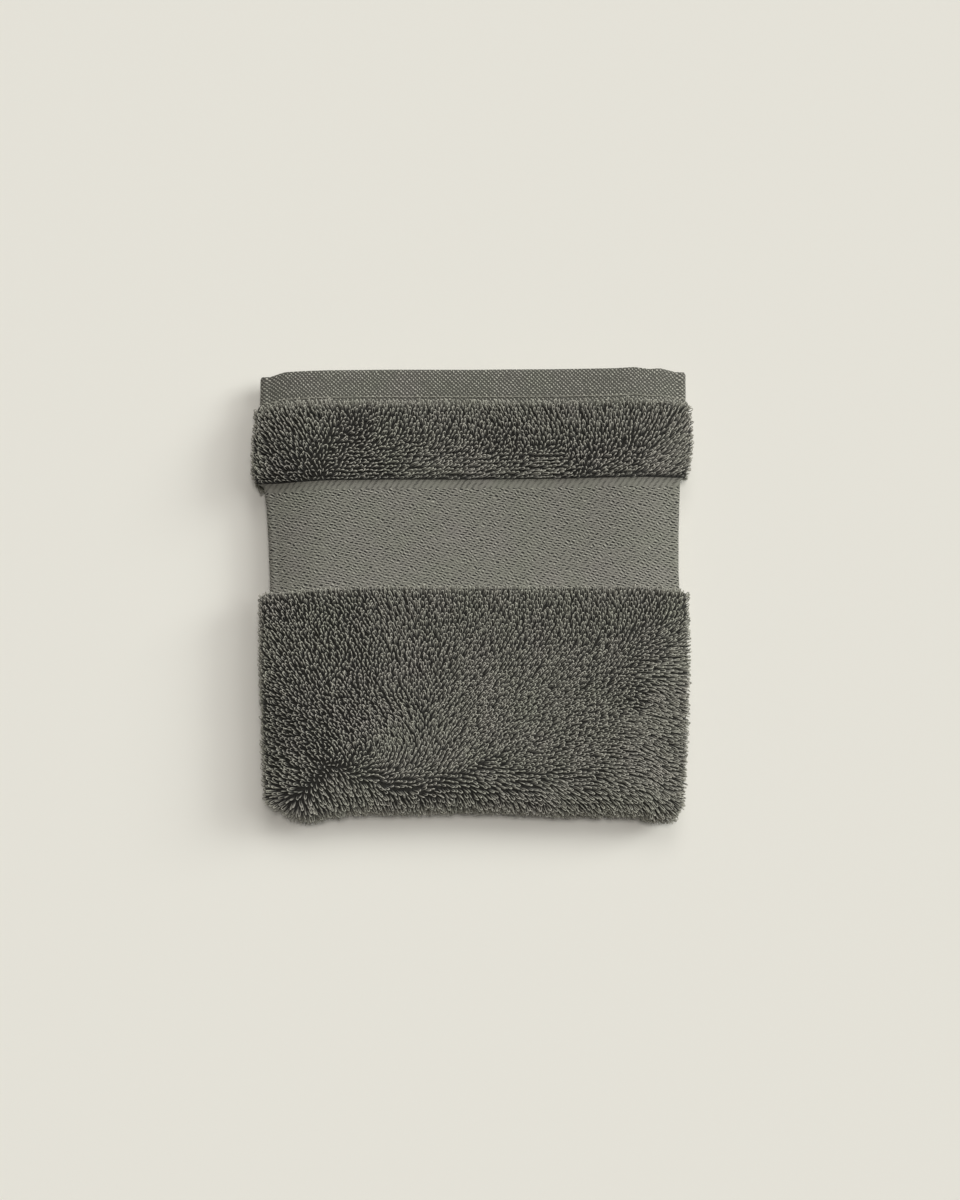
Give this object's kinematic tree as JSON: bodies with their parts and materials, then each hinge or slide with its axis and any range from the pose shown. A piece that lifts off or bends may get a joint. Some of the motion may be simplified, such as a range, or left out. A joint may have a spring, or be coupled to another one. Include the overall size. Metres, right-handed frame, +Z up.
{
  "type": "folded washcloth",
  "caption": "Looped terry washcloth folded into a flat square pack, with a flat woven border and a hem across its front.",
  "frame": {"origin": "centre of the footprint, on the surface that the folded cloth lies on", "axes": "+X to the right and +Y towards the hem as the front is looked down on, +Z up; the last fold is at -Y"},
  "size_m": [0.1598, 0.1622, 0.0182],
  "materials": {
    "terry_cotton": "matte grey-green cotton: dense uncut loops, with a flat slant-figured border and a fine dotted hem"
  },
  "bodies": {
    "root": {"washcloth": "terry_cotton"}
  },
  "joints": []
}
